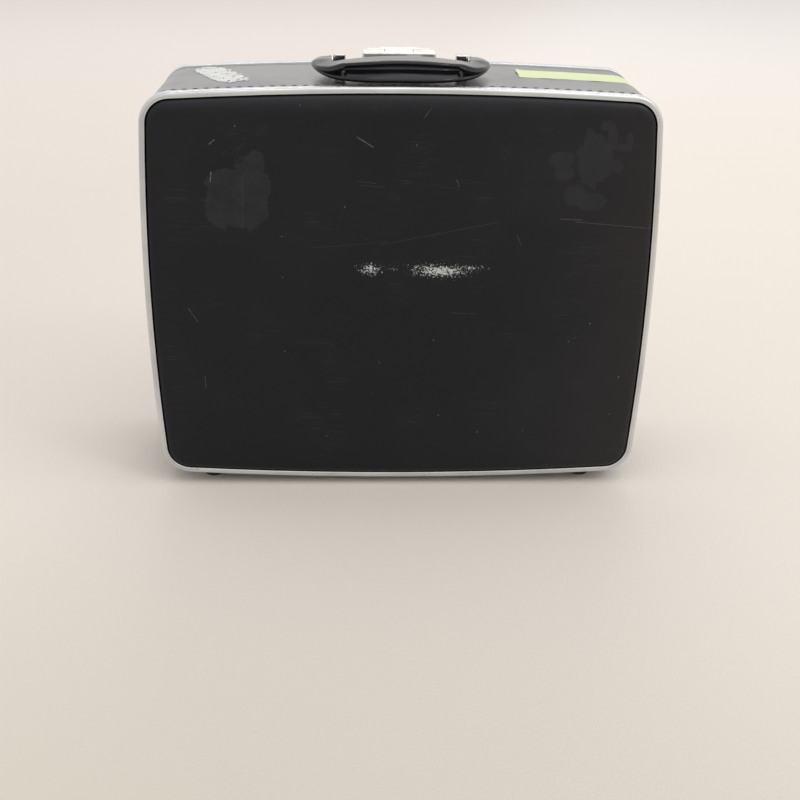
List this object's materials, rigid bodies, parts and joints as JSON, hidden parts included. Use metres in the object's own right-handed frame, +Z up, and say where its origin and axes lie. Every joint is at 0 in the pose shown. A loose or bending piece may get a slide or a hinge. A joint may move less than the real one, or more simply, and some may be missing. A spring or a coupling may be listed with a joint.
{
  "type": "portable typewriter case",
  "caption": "Hard carrying case for a portable typewriter, with bowed aluminium-framed panels, folding handle, latch, hinged rear shell and inside hold-downs.",
  "frame": {"origin": "on the floor under the middle of the case, which stands on its hinge edge", "axes": "+X to the right seen from the big front panel, +Y from the front panel to the shallow rear shell, +Z up towards the handle"},
  "size_m": [0.39, 0.139, 0.336],
  "materials": {
    "covered_board": "board covered in smooth black leathercloth, semi-gloss, worn and scuffed",
    "aluminium_trim": "satin extruded aluminium",
    "lining": "dark grey felt lining",
    "handle_plastic": "glossy black moulded plastic",
    "chrome": "bright nickel-chrome plating",
    "plated_steel": "zinc-plated steel",
    "rubber": "black rubber"
  },
  "bodies": {
    "lid": {"front_frame": "aluminium_trim", "front_panel": "covered_board", "side_band": "covered_board", "lid_valance": "covered_board", "panel_lining": "lining", "band_lining": "lining", "standing_feet": "rubber", "standing_foot_screws": "plated_steel", "hinge_lid_leaf_left": "plated_steel", "hinge_lid_leaf_right": "plated_steel", "hinge_pin_left": "plated_steel", "hinge_pin_right": "plated_steel", "hinge_lid_rivets": "plated_steel", "handle_post_left": "chrome", "handle_post_right": "chrome", "handle_post_rivets": "chrome", "handle_backing_plate": "plated_steel", "latch_base_plate": "chrome", "latch_rivets": "chrome", "latch_housing": "chrome", "latch_spring": "plated_steel"},
    "handle": {"handle_grip": "handle_plastic", "handle_pins": "chrome"},
    "latch_slide": {"slide_button": "chrome", "latch_bolt": "plated_steel"},
    "base": {"base_frame": "aluminium_trim", "base_board": "covered_board", "base_lining": "lining", "back_feet": "rubber", "back_foot_screws": "plated_steel", "hinge_base_leaf_left": "plated_steel", "hinge_base_leaf_right": "plated_steel", "hinge_base_rivets": "plated_steel", "hasp_bracket": "chrome", "hasp_pin": "chrome", "hasp_bracket_rivets": "chrome", "typewriter_hook_left": "plated_steel", "typewriter_hook_right": "plated_steel", "hook_rivets": "plated_steel", "clamp_stud_left": "plated_steel", "clamp_stud_right": "plated_steel"},
    "hasp": {"hasp_plate": "chrome"},
    "clamp_left": {"clamp_arm_left": "plated_steel", "clamp_pad_left": "rubber"},
    "clamp_right": {"clamp_arm_right": "plated_steel", "clamp_pad_right": "rubber"}
  },
  "joints": [
    {"name": "base_hinge", "type": "hinge", "parent": "lid", "child": "base", "pos_m": [0, 0.05465, 0.0032], "axis": [-1, 0, 0], "range_deg": [0, 100]},
    {"name": "handle_swing", "type": "hinge", "parent": "lid", "child": "handle", "pos_m": [0, -0.0015, 0.3284], "axis": [-1, 0, 0], "range_deg": [0, 150]},
    {"name": "hasp_flip", "type": "hinge", "parent": "base", "child": "hasp", "pos_m": [0, 0.0609, 0.3254], "axis": [-1, 0, 0], "range_deg": [0, 110]},
    {"name": "latch_slide_travel", "type": "slide", "parent": "lid", "child": "latch_slide", "axis": [1, 0, 0], "range_m": [0, 0.004], "stiffness_N_per_m": 250, "springref_m": -0.004, "deforming": ["latch_spring"]},
    {"name": "clamp_left_swivel", "type": "hinge", "parent": "base", "child": "clamp_left", "pos_m": [-0.15, 0.043, 0.221], "axis": [0, 1, 0], "range_deg": [0, 90]},
    {"name": "clamp_right_swivel", "type": "hinge", "parent": "base", "child": "clamp_right", "pos_m": [0.15, 0.043, 0.221], "axis": [0, -1, 0], "range_deg": [0, 90]}
  ]
}
